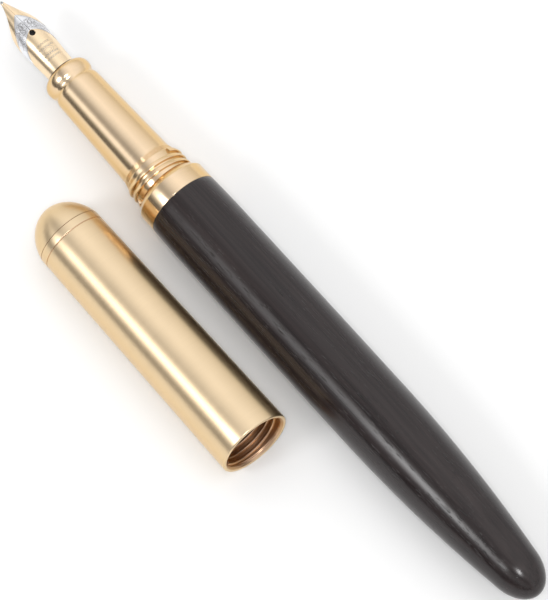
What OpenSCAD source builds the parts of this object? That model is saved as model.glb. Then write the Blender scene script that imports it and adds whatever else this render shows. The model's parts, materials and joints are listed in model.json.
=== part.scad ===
// Screw-cap fountain pen with a wooden barrel, uncapped, with its cap lying beside it.
// The pen lies along X with its nib towards -X. Z = 0 is the surface that both rest on.
// Turned pieces are outlines of [radius, station] points, revolved about the pen's axis or the
// cap's axis. A pen station is the distance from the nib's point, and a cap station is the
// distance behind the cap's mouth, which is negative inside the cap.

/* [Pen] */
// Length of the uncapped pen
pen_l = 147.5; // [140:0.5:160]
// Length of the nib outside the section
nib_out = 17.35; // [16:0.05:18]
// Largest diameter of the barrel
belly_d = 14.38; // [14:0.02:16]

/* [Nib and feed] */
// Diameter of the nib's rolled base
nib_base_d = 5.64; // [5.6:0.02:5.7]
// Thickness of the nib's sheet
nib_t = 0.35; // [0.25:0.05:0.4]
// Diameter of the breather hole
breather_d = 1.15; // [0.8:0.05:1.3]
// Width of the slit between the tines
slit_w = 0.1; // [0.06:0.02:0.2]
// Number of fins under the feed
fins = 9; // [4:1:9]

/* [Grip section] */
// Diameter of the rounded lip
lip_d = 9.1; // [8.8:0.1:9.6]
// Diameter at the bottom of the cove behind the lip
cove_d = 8.1; // [8:0.02:8.6]
// Diameter at the front of the straight taper
grip_front_d = 8.96; // [8.8:0.02:9.4]
// Diameter at the rear of the straight taper
grip_rear_d = 10.05; // [9.8:0.05:10.4]
// Distance from the section's lip to the ring
section_l = 28.45; // [28:0.05:30]

/* [Cap thread] */
// Outside diameter of the thread's ridges
thread_d = 11.68; // [11.5:0.02:11.8]
// Distance from ridge to ridge
thread_pitch = 1.27; // [1.1:0.01:1.3]
// Number of ridges on the section
ridges = 3; // [2:1:3]

/* [Ring] */
// Outside diameter of the plain ring
ring_d = 13.78; // [13.4:0.02:14]
// Length of the ring with its chamfer
ring_l = 4.6; // [4:0.1:5]

/* [Converter] */
// Outside diameter of the clear tube
tube_d = 7.4; // [7.2:0.1:7.4]
// Length of the converter
converter_l = 72; // [70:1:74]
// Stroke of the piston
stroke = 27; // [20:1:27]

/* [Cap] */
// Outside diameter at the mouth
mouth_d = 13.96; // [13.8:0.02:14.4]
// Outside diameter at the dome's base
dome_d = 12.72; // [12.6:0.02:13]
// Length of the tapered tube
cap_tube_l = 51.7; // [50:0.1:54]
// Length of the dome
dome_l = 6.3; // [6:0.1:7]
// Distance from the pen's axis to the middle of the cap's mouth
cap_gap = 19.4; // [16:0.05:30]
// Pen station of the cap's mouth
cap_station = 93.6; // [70:0.1:110]
// Turn of the cap away from the pen's line, in degrees
cap_yaw = 0.6; // [0:0.02:3]

/* [Hidden] */
$fn = 96;

// Clearance between pieces that turn or slide in each other, and of glued joints
run = 0.05;
glue = 0.02;

// Stations along the pen
lip_x = nib_out;
ring_x = lip_x + section_l;
wood_x = ring_x + ring_l;
tenon_l = 8.4;
tenon_x = ring_x + tenon_l;
spigot_l = 8.3;
spigot_x = wood_x + spigot_l;
housing_l = 19.15;
housing_x = lip_x + housing_l;
nipple_l = 5.6;
conv_x = housing_x + 0.1;

// Radii shared by mating pieces
housing_bore_r = nib_base_d / 2 + run;
housing_r = 3.3;
nipple_r = 1.3;
conv_bore_r = 3.9;
tenon_r = 4.75;
bush_thread_r = tenon_r + run;
spigot_r = 5.5;
liner_out_r = 4.4;
liner_in_r = 4.1;
liner_x = spigot_x - 2.5;
liner_end = liner_x + 65;
seal_wire_r = 0.3;
seal_x = ring_x + 0.65;
seal_mid_r = tenon_r + run + 0.12 - seal_wire_r;

// Barrel outline: three shallow curves and an elliptical end
belly_r = belly_d / 2;
barrel_front_r = ring_d / 2;
shoulder_x = wood_x + 9.3;
shoulder_r = belly_r - 0.12;
belly_x = 102.7;
tail_curve = 0.0017;
end_l = 7.4;
end_r = 4.75;
end_x = pen_l - end_l;
tail_x = end_x + 1.2;

// Cap: the cone lies on the surface, so its axis is tilted by the cone's half angle
mouth_r = mouth_d / 2;
dome_r = dome_d / 2;
cap_tilt = atan((mouth_r - dome_r) / cap_tube_l);
cap_bore_r = 5.55;
thread_root_r = 5.95;
thread_crest_r = 5.62;
mouth_bore_r = 6;
mouth_bore_l = 0.6;
crown_spigot_r = cap_bore_r - glue;
crown_spigot_l = 5;
liner_mouth = -29.2;
liner_step = -46.4;
liner_back = -51.2;
liner_stub_r = 4.6;

// Where the pen and the cap lie, with the whole set centred over the origin
pen_y = (cap_gap + mouth_r - belly_r) / 2;
mouth_y = pen_y - cap_gap;

brass = [0.82, 0.69, 0.50];
brass_deep = [0.72, 0.58, 0.38];
steel = [0.80, 0.80, 0.82];
gold = [0.92, 0.77, 0.52];
ebony = [0.16, 0.14, 0.14];
black = [0.07, 0.07, 0.07];
clear = [0.80, 0.88, 0.92, 0.5];

// Puts pen pieces in place
module on_pen() {
    translate([-pen_l / 2, pen_y, belly_r]) children();
}

// Puts cap pieces in place
module on_cap() {
    translate([cap_station - pen_l / 2, mouth_y, mouth_r * cos(cap_tilt)])
        rotate([0, -cap_tilt, -cap_yaw]) children();
}

// Revolves [radius, station] points about the X axis
module turned(outline) {
    rotate([0, 90, 0]) rotate_extrude() polygon(outline);
}

// Revolves the outline through the half turn above the axis
module turned_upper_half(outline) {
    rotate([0, 90, 0]) rotate([0, 0, 90]) rotate_extrude(angle = 180) polygon(outline);
}

// Revolves the outline through the half turn below the axis
module turned_lower_half(outline) {
    mirror([0, 0, 1]) turned_upper_half(outline);
}

// A tube from station x0 to station x1
module tube(r_out, r_in, x0, x1) {
    turned([[r_in, x0], [r_out, x0], [r_out, x1], [r_in, x1]]);
}

// Points of one rounded ridge of height h and length l, centred on station x
function ridge(x, r, h, l) = [
    for (i = [0:6])
        let (a = 180 * i / 6)
        [r + h * sin(a), x - l / 2 * cos(a)]];

// Points of n vee teeth that start at station x
function teeth(x, r_low, r_high, pitch, n) = [
    for (i = [0:n - 1])
        each [[r_low, x + i * pitch], [r_high, x + (i + 0.5) * pitch]]];

// Reverses a list of points
function back(points) = [for (i = [len(points) - 1:-1:0]) points[i]];

// ---- Nib, feed and housing ----

// Crest line of the nib: radius of its outside at each station
nib_crest = [
    [1.4, 0.5], [2.1, 3.2], [2.75, 5.5], [3.05, 7], [3.2, 9.2],
    [nib_base_d / 2, lip_x], [nib_base_d / 2, lip_x + 12.5]];

// Half width of the nib seen from above, as [station, half width]
nib_plan = [
    [0.5, 0.3], [2.1, 0.78], [3.2, 1.2], [4.4, 1.75], [5.6, 2.35],
    [6.8, 2.85], [8, 3.1], [9.2, 3.2], [11, 3.2], [40, 3.2]];

breather_x = 9;
pellet_r = 0.42;
pellet_z = 1.15;

module pellet() {
    translate([pellet_r, 0, pellet_z]) sphere(r = pellet_r, $fn = 32);
}

module nib() {
    crest_in = [for (p = nib_crest) [p[0] - nib_t, p[1]]];
    plan = concat(nib_plan, back([for (p = nib_plan) [p[0], -p[1]]]));
    color(gold) on_pen() difference() {
        intersection() {
            turned_upper_half(concat(nib_crest, back(crest_in)));
            linear_extrude(5) polygon(plan);
        }
        translate([breather_x, 0, 0]) cylinder(d = breather_d, h = 5);
        translate([0, -slit_w / 2, 0]) cube([breather_x, slit_w, 5]);
        pellet();
    }
}

module nib_tipping() {
    color(steel) on_pen() pellet();
}

feed_x = 4.4;
feed_end = housing_x - 2.6;
fin_x = 8.6;
fin_pitch = 0.85;
fin_t = 0.4;
feed_core_r = 1.9;
feed_top_r = nib_base_d / 2 - nib_t - run;
feed_low_r = nib_base_d / 2 - glue;

module feed() {
    color(black) on_pen() difference() {
        union() {
            turned([
                [0, feed_x], [0.5, feed_x], [feed_core_r, fin_x - 0.2], [feed_core_r, lip_x - 0.4],
                [feed_top_r, lip_x - 0.4], [feed_top_r, feed_end], [0, feed_end]]);
            turned_lower_half([
                [0, lip_x - 0.4], [feed_low_r, lip_x - 0.4], [feed_low_r, feed_end], [0, feed_end]]);
            for (i = [0:fins - 1])
                let (x = fin_x + i * fin_pitch, r = 2.25 + 0.5 * i / fins)
                turned_lower_half([[0, x], [r, x], [r, x + fin_t], [0, x + fin_t]]);
        }
        translate([feed_x - 1, -0.15, feed_core_r - 0.6]) cube([lip_x - feed_x, 0.3, 3]);
    }
}

module nib_housing() {
    color(black) on_pen() turned([
        [housing_bore_r, lip_x - 0.3], [housing_r - 0.1, lip_x - 0.3],
        [housing_r - 0.02, lip_x - 0.2],
        [housing_r - 0.02, housing_x], [nipple_r, housing_x], [nipple_r, housing_x + nipple_l],
        [0.8, housing_x + nipple_l], [0.8, housing_x - 1.4], [housing_bore_r, housing_x - 1.4]]);
}

// ---- Grip section and its seal ----

module grip_section() {
    lip_r = lip_d / 2;
    lip_l = 1.45;
    lip_end = lip_x + lip_l;
    cove_x = lip_end + 1.5;
    grip_x = cove_x + 1.3;
    core_r = thread_d / 2 - 0.5;
    ridge_x = ring_x - 0.9 - (ridges - 1) * thread_pitch;
    run_x = ridge_x - 1.9;
    run_l = 1.3;
    run_rise = core_r - grip_rear_d / 2;
    lip = [for (i = [0:6]) let (a = 15 * i)
        [lip_r - 1.2 + 1.2 * sin(a), lip_end - lip_l * cos(a)]];
    outline = concat(
        [[housing_r, lip_x + 0.02]], lip,
        [[lip_r - 0.1, lip_end + 0.6], [cove_d / 2, cove_x - 0.2], [cove_d / 2, cove_x + 0.2]],
        [[grip_front_d / 2 - 0.15, grip_x - 0.6], [grip_front_d / 2, grip_x]],
        [[grip_rear_d / 2, run_x]],
        [for (i = [1:2]) let (t = i * 0.4, r = grip_rear_d / 2 + run_rise * t / run_l)
            each [[r, run_x + t], [r - 0.06, run_x + t + 0.14]]],
        [[core_r, run_x + run_l]],
        [for (i = [0:ridges - 1])
            each ridge(ridge_x + i * thread_pitch, core_r, 0.5, thread_pitch - 0.2)],
        [[core_r, ring_x], [tenon_r, ring_x]],
        [[tenon_r, seal_x - seal_wire_r - 0.03], [seal_mid_r - seal_wire_r - 0.02,
            seal_x - seal_wire_r - 0.03], [seal_mid_r - seal_wire_r - 0.02,
            seal_x + seal_wire_r + 0.03], [tenon_r, seal_x + seal_wire_r + 0.03]],
        teeth(seal_x + 1, tenon_r - 0.3, tenon_r, 0.75, 8),
        [[tenon_r - 0.3, tenon_x], [conv_bore_r, tenon_x]],
        [[conv_bore_r, housing_x], [housing_r, housing_x]]);
    color(brass) on_pen() turned(outline);
}

module section_seal() {
    color(black) on_pen() translate([seal_x, 0, 0])
        rotate([0, 90, 0]) rotate_extrude() translate([seal_mid_r, 0]) circle(r = seal_wire_r, $fn = 32);
}

// ---- Barrel ----

// Radius of the wood at a station
function barrel_r(x) =
    x < shoulder_x ? shoulder_r
        - (shoulder_r - barrel_front_r) * pow((shoulder_x - x) / (shoulder_x - wood_x), 2)
    : x < belly_x ? belly_r
        - (belly_r - shoulder_r) * pow((belly_x - x) / (belly_x - shoulder_x), 2)
    : x < tail_x ? belly_r - tail_curve * pow(x - belly_x, 2)
    : end_r * sqrt(max(0, 1 - pow((x - end_x) / end_l, 2)));

module barrel() {
    front = [for (i = [0:5]) wood_x + (shoulder_x - wood_x) * i / 6];
    middle = [for (i = [0:7]) shoulder_x + (belly_x - shoulder_x) * i / 8];
    tail = [for (i = [0:11]) belly_x + (tail_x - belly_x) * i / 12];
    tip = [for (i = [0:14]) end_x + end_l * sin(9.5 + (90 - 9.5) * i / 14)];
    outside = [for (x = concat(front, middle, tail, tip)) [barrel_r(x), x]];
    bore_r = liner_out_r + glue;
    color(ebony) on_pen() turned(concat(
        [[spigot_r + glue, wood_x]], outside,
        [[0, pen_l], [0, liner_end + 0.2], [bore_r, liner_end + 0.2]],
        [[bore_r, spigot_x + 0.1], [spigot_r + glue, spigot_x + 0.1]]));
}

module barrel_liner() {
    color(brass_deep) on_pen() tube(liner_out_r, liner_in_r, liner_x, liner_end);
}

module barrel_bush() {
    chamfer = 1.35;
    foot_r = thread_d / 2 - 0.08;
    seal_bore_r = seal_mid_r + seal_wire_r + run;
    thread_end = tenon_x + 0.3;
    color(brass) on_pen() turned(concat(
        [[seal_bore_r, ring_x], [foot_r, ring_x], [ring_d / 2 - 0.1, ring_x + chamfer - 0.1]],
        [[ring_d / 2, ring_x + chamfer], [ring_d / 2, wood_x], [spigot_r, wood_x]],
        [[spigot_r, spigot_x], [liner_out_r + glue, spigot_x], [liner_out_r + glue, liner_x]],
        [[liner_in_r, liner_x], [liner_in_r, thread_end], [bush_thread_r, thread_end]],
        back(teeth(seal_x + 1, bush_thread_r, bush_thread_r + 0.3, 0.75, 8)),
        [[bush_thread_r, seal_x + 0.7], [seal_bore_r, seal_x + 0.7]]));
}

// ---- Converter ----

tube_r = tube_d / 2;
chamber_r = tube_r - 0.4;
neck_l = 6;
chamber_x = conv_x + neck_l;
tube_end = conv_x + 43;
guide_x = tube_end - 5;
sleeve_x = tube_end - 6;
sleeve_end = tube_end + 13;
knob_x = tube_end + 1.4;
knob_end = conv_x + converter_l;
piston_x = chamber_x + 1.4;
piston_l = 2.8;
rod_x = piston_x + piston_l;
rod_end = rod_x + stroke + 5;
rod_r = 1.75;
rod_bore_r = 1.1;
knob_bore_r = 1.9;
screw_r = 1;
screw_x = rod_end - 3.4;
screw_root = knob_end - 1.8;

module converter_tube() {
    color(clear) on_pen() turned([
        [nipple_r + glue, conv_x], [tube_r - 0.3, conv_x], [tube_r - 0.3, chamber_x - 0.5],
        [tube_r, chamber_x], [tube_r, tube_end], [chamber_r, tube_end],
        [chamber_r, chamber_x], [nipple_r + glue, chamber_x]]);
}

module converter_guide() {
    color(black) on_pen() tube(chamber_r - glue, rod_r + run, guide_x, tube_end);
}

module converter_sleeve() {
    bore_r = tube_r + glue;
    color(steel) on_pen() turned([
        [bore_r, sleeve_x], [bore_r + 0.23, sleeve_x], [bore_r + 0.23, sleeve_end],
        [3.05, sleeve_end], [3.05, sleeve_end - 0.8], [bore_r, sleeve_end - 0.8]]);
}

module converter_knob() {
    grip_x = sleeve_end + 0.4;
    grip_r = 3.6;
    flutes = 18;
    color(steel) on_pen() difference() {
        turned([
            [knob_bore_r, knob_x], [3.6, knob_x], [3.6, sleeve_end - 0.9], [2.95, sleeve_end - 0.9],
            [2.95, grip_x], [grip_r, grip_x], [grip_r, knob_end - 0.5], [grip_r - 0.5, knob_end],
            [screw_r + glue, knob_end], [screw_r + glue, screw_root], [knob_bore_r, screw_root]]);
        for (i = [0:flutes - 1])
            rotate([i * 360 / flutes, 0, 0]) translate([grip_x + 1.5, 0, grip_r + 0.15])
                rotate([0, 90, 0]) cylinder(r = 0.35, h = 20, $fn = 24);
    }
}

module drive_screw() {
    color(black) on_pen() turned(concat(
        [[0, screw_x]], teeth(screw_x, screw_r - 0.25, screw_r, stroke / 18, 18),
        [[screw_r - 0.25, screw_x + stroke], [screw_r, screw_x + stroke],
            [screw_r, knob_end - 0.3]],
        [[0, knob_end - 0.3]]));
}

module piston_rod() {
    color(black) on_pen() tube(rod_r, rod_bore_r, rod_x, rod_end);
}

module piston() {
    color(black) on_pen() turned([
        [0, piston_x], [2.9, piston_x], [2.9, piston_x + 0.4], [2.4, piston_x + 0.4],
        [2.4, piston_x + 2.2], [2.9, piston_x + 2.2], [2.9, rod_x], [rod_bore_r - glue, rod_x],
        [rod_bore_r - glue, rod_x + 1.4], [0, rod_x + 1.4]]);
}

module piston_seal() {
    lip_r = chamber_r - glue;
    color(steel) on_pen() turned([
        [2.42, piston_x + 0.42], [lip_r, piston_x + 0.42], [lip_r, piston_x + 0.8],
        [lip_r - 0.25, piston_x + 1.3], [lip_r, piston_x + 1.8], [lip_r, piston_x + 2.18],
        [2.42, piston_x + 2.18]]);
}

// ---- Cap ----

module cap_tube() {
    edge = 0.15;
    line_x = -cap_tube_l + 1.6;
    line_r = dome_r + 1.6 * tan(cap_tilt);
    cut = 0.08;
    thread_x = -mouth_bore_l - 7.04;
    color(brass) on_cap() turned(concat(
        [[mouth_bore_r + edge, 0], [mouth_r - edge, 0], [mouth_r, -edge]],
        [[line_r, line_x + 0.15], [line_r - cut, line_x], [line_r, line_x - 0.15]],
        [[dome_r, -cap_tube_l], [cap_bore_r, -cap_tube_l], [cap_bore_r, thread_x]],
        back(teeth(thread_x, thread_root_r, thread_crest_r, 1.17, 6)),
        [[mouth_bore_r, -mouth_bore_l], [mouth_bore_r, -edge]]));
}

module cap_crown() {
    base = -cap_tube_l - glue;
    ellipse_r = dome_r * 1.0224;
    ellipse_l = dome_l * 1.265;
    middle = base - dome_l + ellipse_l;
    first = asin((middle - base) / ellipse_l);
    dome = [for (i = [0:16]) let (a = first + (90 - first) * i / 16)
        [ellipse_r * cos(a), middle - ellipse_l * sin(a)]];
    recess_r = liner_stub_r + run;
    color(brass) on_cap() turned(concat(
        dome,
        [[0, base + 0.25], [recess_r, base + 0.25], [recess_r, base + crown_spigot_l]],
        [[crown_spigot_r, base + crown_spigot_l], [crown_spigot_r, base]]));
}

module cap_liner() {
    wall_r = cap_bore_r - run - 0.02;
    color(black) on_cap() turned([
        [4.5, liner_mouth], [wall_r, liner_mouth], [wall_r, liner_step], [liner_stub_r, liner_step],
        [liner_stub_r, liner_back], [0, liner_back], [0, liner_back + 0.8], [3.9, liner_back + 0.8],
        [3.9, liner_step], [4.3, liner_step + 0.6], [4.3, liner_mouth - 0.3]]);
}

barrel();
barrel_liner();
barrel_bush();
converter_tube();
converter_guide();
converter_sleeve();
converter_knob();
drive_screw();
piston_rod();
piston();
piston_seal();
section_seal();
grip_section();
nib_housing();
nib();
nib_tipping();
feed();
cap_liner();
cap_tube();
cap_crown();
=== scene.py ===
"""The looks of an uncapped screw-cap fountain pen, with its cap lying beside it.

Each operator builds one piece, or one group of like pieces, in the place that the loaded frame
gives it. A pen station is the distance from the nib's point. A cap station is the distance from
the cap's mouth, and is negative inside the cap. Outlines list (station, radius) in millimetres,
along the outside from nose to tail and then back through the bore.
"""

import json
import math
from bisect import bisect_right
from types import SimpleNamespace

import bmesh
import bpy
from bpy.props import (
    FloatProperty, FloatVectorProperty, IntProperty, PointerProperty)
from mathutils import Matrix, Vector


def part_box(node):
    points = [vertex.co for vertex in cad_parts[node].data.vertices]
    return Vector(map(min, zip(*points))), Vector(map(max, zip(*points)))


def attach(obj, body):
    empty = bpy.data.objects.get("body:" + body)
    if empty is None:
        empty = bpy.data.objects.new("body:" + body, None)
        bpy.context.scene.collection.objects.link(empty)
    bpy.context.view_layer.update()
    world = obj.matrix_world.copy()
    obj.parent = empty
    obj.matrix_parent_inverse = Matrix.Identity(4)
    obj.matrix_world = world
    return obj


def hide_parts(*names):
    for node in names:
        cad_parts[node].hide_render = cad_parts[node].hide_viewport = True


bl_info = {
    "name": "Wooden Fountain Pen",
    "version": (1, 0, 0),
    "blender": (4, 5, 0),
    "location": "3D View > Sidebar > Fountain Pen",
    "description": "Builds a turned fountain pen and its cap on a packed frame",
    "category": "Add Mesh",
}

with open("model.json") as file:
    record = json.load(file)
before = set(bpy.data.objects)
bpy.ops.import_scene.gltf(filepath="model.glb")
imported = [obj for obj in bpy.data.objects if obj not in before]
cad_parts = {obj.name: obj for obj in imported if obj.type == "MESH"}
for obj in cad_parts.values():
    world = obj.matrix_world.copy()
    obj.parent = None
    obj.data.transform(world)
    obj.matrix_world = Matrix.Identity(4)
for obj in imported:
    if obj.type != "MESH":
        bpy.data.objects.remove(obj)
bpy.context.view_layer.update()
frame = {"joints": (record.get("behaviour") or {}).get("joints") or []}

MM = 0.001
TURN = 2 * math.pi
ROUND_STEPS = 144
CAP_PIVOT_DEPTH = 25 * MM


# ---- Places ----

def pen_place():
    """The pen's axis, with its origin at the nib's point."""
    low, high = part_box("barrel")
    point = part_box("nib_tipping")[0].x
    return Matrix.Translation((point, (low.y + high.y) / 2, (low.z + high.z) / 2))


def cap_place():
    """The cap's tilted axis, with its origin in the middle of the mouth."""
    joint = next(j for j in frame["joints"] if j["name"] == "cap_turn")
    along = Vector(joint["axis"]).normalized()
    side = Vector((0, 0, 1)).cross(along).normalized()
    mouth = Vector(joint["pos_m"]) + along * CAP_PIVOT_DEPTH
    turned = Matrix((along, side, along.cross(side))).transposed()
    return Matrix.Translation(mouth) @ turned.to_4x4()


PEN = pen_place()
CAP = cap_place()


# ---- Outlines ----

def smooth_value(table, x):
    """A smooth curve through (x, value) rows, which never overshoots them."""
    xs = [row[0] for row in table]
    if x <= xs[0]:
        return table[0][1]
    if x >= xs[-1]:
        return table[-1][1]
    i = bisect_right(xs, x) - 1

    def slope(k):
        if k in (0, len(table) - 1):
            return 0.0 if k else grade(0)
        before, after = grade(k - 1), grade(k)
        return 0.0 if before * after <= 0 else 2 * before * after / (before + after)

    def grade(k):
        return (table[k + 1][1] - table[k][1]) / (xs[k + 1] - xs[k])

    span = xs[i + 1] - xs[i]
    t = (x - xs[i]) / span
    a, b = table[i][1], table[i + 1][1]
    return ((2 * t**3 - 3 * t**2 + 1) * a + (t**3 - 2 * t**2 + t) * span * slope(i)
            + (3 * t**2 - 2 * t**3) * b + (t**3 - t**2) * span * slope(i + 1))


def steps_between(start, end, step):
    """Evenly spaced values from start to end, no further apart than step."""
    count = max(1, math.ceil(abs(end - start) / step))
    return [start + (end - start) * i / count for i in range(count + 1)]


def eased(outline, radius, closed=True, steps=4):
    """The outline with each sharp corner rounded off by the radius."""
    count, result = len(outline), []
    for i, point in enumerate(outline):
        p = Vector(point)
        if not closed and i in (0, count - 1):
            result.append(tuple(p))
            continue
        before = Vector(outline[i - 1]) - p
        after = Vector(outline[(i + 1) % count]) - p
        if before.length < 1e-6 or after.length < 1e-6:
            continue
        turn = math.pi - before.angle(after)
        if turn < math.radians(12):
            result.append(tuple(p))
            continue
        cut = min(radius, 0.45 * before.length, 0.45 * after.length)
        a, b = p + before.normalized() * cut, p + after.normalized() * cut
        for k in range(steps + 1):
            t = k / steps
            result.append(tuple(a * (1 - t)**2 + p * 2 * t * (1 - t) + b * t**2))
    return result


# ---- Meshes ----

def new_object(name, mesh):
    """Links a new object that shows the mesh."""
    piece = bpy.data.objects.new(name, mesh)
    bpy.context.scene.collection.objects.link(piece)
    return piece


def shade(mesh, angle=32):
    """Smooth shading, with the edges sharper than the angle left crisp."""
    mesh.shade_smooth()
    mesh.set_sharp_from_angle(angle=math.radians(angle))


def turned(name, outline, place, steps=ROUND_STEPS):
    """A closed turned piece. An outline that starts on the axis also ends on it."""
    solid = outline[0][1] < 1e-9
    verts, rings, travelled = [], [], [0.0]
    for i, (x, r) in enumerate(outline):
        if i:
            travelled.append(travelled[-1] + math.dist(outline[i - 1], (x, r)))
        first = len(verts)
        if r < 1e-9:
            verts.append((x * MM, 0, 0))
            rings.append([first] * steps)
            continue
        for k in range(steps):
            a = TURN * k / steps
            verts.append((x * MM, r * MM * math.cos(a), r * MM * math.sin(a)))
        rings.append(list(range(first, first + steps)))
    if not solid:
        rings.append(rings[0])
        travelled.append(travelled[-1] + math.dist(outline[-1], outline[0]))
    faces, corners = [], []
    length = travelled[-1]
    for i in range(len(rings) - 1):
        low, high = travelled[i] / length, travelled[i + 1] / length
        for k in range(steps):
            n = (k + 1) % steps
            face = [rings[i][k], rings[i][n], rings[i + 1][n], rings[i + 1][k]]
            around = [(k / steps, low), ((k + 1) / steps, low),
                      ((k + 1) / steps, high), (k / steps, high)]
            kept = [c for c in range(4) if face[c] not in face[:c]]
            faces.append([face[c] for c in kept])
            corners += [around[c] for c in kept]
    mesh = bpy.data.meshes.new(name)
    mesh.from_pydata(verts, [], faces)
    layer = mesh.uv_layers.new(name="around")
    layer.data.foreach_set("uv", [value for corner in corners for value in corner])
    mesh.transform(place)
    shade(mesh)
    return new_object(name, mesh)


def joined(name, pieces):
    """One object made of several."""
    with bpy.context.temp_override(
            active_object=pieces[0], selected_editable_objects=pieces,
            selected_objects=pieces, object=pieces[0]):
        bpy.ops.object.join()
    pieces[0].name = pieces[0].data.name = name
    return pieces[0]


def settled(piece, body, slot, *nodes):
    """Hands a finished piece to the frame: its body, and the nodes it stands for, which it hides.
    The slot is not used.
    """
    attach(piece, body)
    if nodes:
        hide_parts(*nodes)
    return piece


# ---- Geometry node trees ----

class Tree:
    """A geometry node tree with named inputs, and short ways to add and link its nodes."""

    def __init__(self, name, inputs):
        self.tree = bpy.data.node_groups.new(name, "GeometryNodeTree")
        face = self.tree.interface
        face.new_socket("Geometry", in_out="INPUT", socket_type="NodeSocketGeometry")
        face.new_socket("Geometry", in_out="OUTPUT", socket_type="NodeSocketGeometry")
        self.sockets = {}
        for label, kind in inputs.items():
            self.sockets[label] = face.new_socket(
                label, in_out="INPUT", socket_type="NodeSocket" + kind).identifier
        self.entry = self.tree.nodes.new("NodeGroupInput")
        self.exit = self.tree.nodes.new("NodeGroupOutput")

    def given(self, label):
        """The output of the input node that carries this input."""
        return self.entry.outputs[label]

    def node(self, kind, links=(), **settings):
        """Adds a node. links holds (input, value or output) pairs."""
        made = self.tree.nodes.new(kind)
        for key, value in settings.items():
            setattr(made, key, value)
        for where, source in links:
            if isinstance(source, bpy.types.NodeSocket):
                self.tree.links.new(source, made.inputs[where])
            else:
                made.inputs[where].default_value = source
        return made

    def maths(self, operation, *values):
        """A maths node's result."""
        return self.node("ShaderNodeMath", enumerate(values), operation=operation).outputs[0]

    def finish(self, geometry):
        """Ends the tree in Realize Instances and Set Material."""
        plain = self.node("GeometryNodeRealizeInstances", [("Geometry", geometry)])
        painted = self.node("GeometryNodeSetMaterial", [
            ("Geometry", plain.outputs[0]), ("Material", self.given("Material"))])
        self.tree.links.new(painted.outputs[0], self.exit.inputs[0])

    def bake(self, name, values, place, source=None):
        """The tree's result as a plain mesh object."""
        carrier = source or new_object(name + "_carrier", bpy.data.meshes.new(name))
        carrier.data.name = name + "_source"
        nodes = carrier.modifiers.new("Nodes", "NODES")
        nodes.node_group = self.tree
        for label, value in values.items():
            nodes[self.sockets[label]] = value
        graph = bpy.context.evaluated_depsgraph_get()
        mesh = bpy.data.meshes.new_from_object(carrier.evaluated_get(graph), depsgraph=graph)
        mesh.name = name
        carrier.modifiers.remove(nodes)
        bpy.data.objects.remove(carrier)
        if not mesh.polygons:
            raise RuntimeError(f"{name}: the node tree made no faces")
        mesh.transform(place)
        shade(mesh)
        return new_object(name, mesh)


def thread_tree():
    """Helical ridges round the X axis that fade out at both ends."""
    t = Tree("Helical thread", {
        "Radius": "Float", "Height": "Float", "Foot": "Float", "Crest": "Float",
        "Pitch": "Float", "Starts": "Int", "Length": "Float", "Start": "Float",
        "Fade": "Float", "Turn": "Float", "Material": "Material"})
    lead = t.maths("MULTIPLY", t.given("Pitch"), t.given("Starts"))
    turns = t.maths("DIVIDE", t.given("Length"), lead)
    spiral = t.node("GeometryNodeCurveSpiral", [
        ("Resolution", 96), ("Rotations", turns), ("Start Radius", t.given("Radius")),
        ("End Radius", t.given("Radius")), ("Height", t.given("Length"))])
    upright = t.node("GeometryNodeSetCurveNormal", [("Curve", spiral.outputs[0])], mode="Z_UP")
    part = t.node("GeometryNodeSplineParameter").outputs["Factor"]
    rest = t.maths("SUBTRACT", 1.0, part)
    nearer = t.maths("MINIMUM", part, rest)
    scale = t.maths("DIVIDE", t.maths("MULTIPLY", nearer, turns), t.given("Fade"))
    swell = t.maths("MAXIMUM", 0.02, t.maths("MINIMUM", 1.0, scale))
    path = t.node("GeometryNodeSetCurveRadius", [
        ("Curve", upright.outputs[0]), ("Radius", swell)])
    section = t.node("GeometryNodeCurvePrimitiveQuadrilateral", [
        ("Height", t.maths("MULTIPLY", 2.0, t.given("Height"))),
        ("Bottom Width", t.given("Foot")), ("Top Width", t.given("Crest")),
        ("Offset", 0.0)], mode="TRAPEZOID")
    rounded = t.node("GeometryNodeFilletCurve", [
        ("Curve", section.outputs[0]), ("Limit Radius", True), ("Count", 4),
        ("Radius", t.maths("MULTIPLY", 0.3, t.given("Crest")))], mode="POLY")
    ridge = t.node("GeometryNodeCurveToMesh", [
        ("Curve", path.outputs[0]), ("Profile Curve", rounded.outputs[0]), ("Fill Caps", True)])
    starts = t.node("GeometryNodePoints", [("Count", t.given("Starts"))])
    index = t.node("GeometryNodeInputIndex").outputs[0]
    share = t.maths("DIVIDE", t.maths("MULTIPLY", index, TURN), t.given("Starts"))
    angle = t.node("ShaderNodeCombineXYZ", [("Z", t.maths("ADD", share, t.given("Turn")))])
    ridges = t.node("GeometryNodeInstanceOnPoints", [
        ("Points", starts.outputs[0]), ("Instance", ridge.outputs[0]),
        ("Rotation", angle.outputs[0])])
    shift = t.node("ShaderNodeCombineXYZ", [("X", t.given("Start"))])
    along = t.node("GeometryNodeTransform", [
        ("Geometry", ridges.outputs[0]), ("Translation", shift.outputs[0]),
        ("Rotation", (0, math.pi / 2, 0))])
    t.finish(along.outputs[0])
    return t


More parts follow.
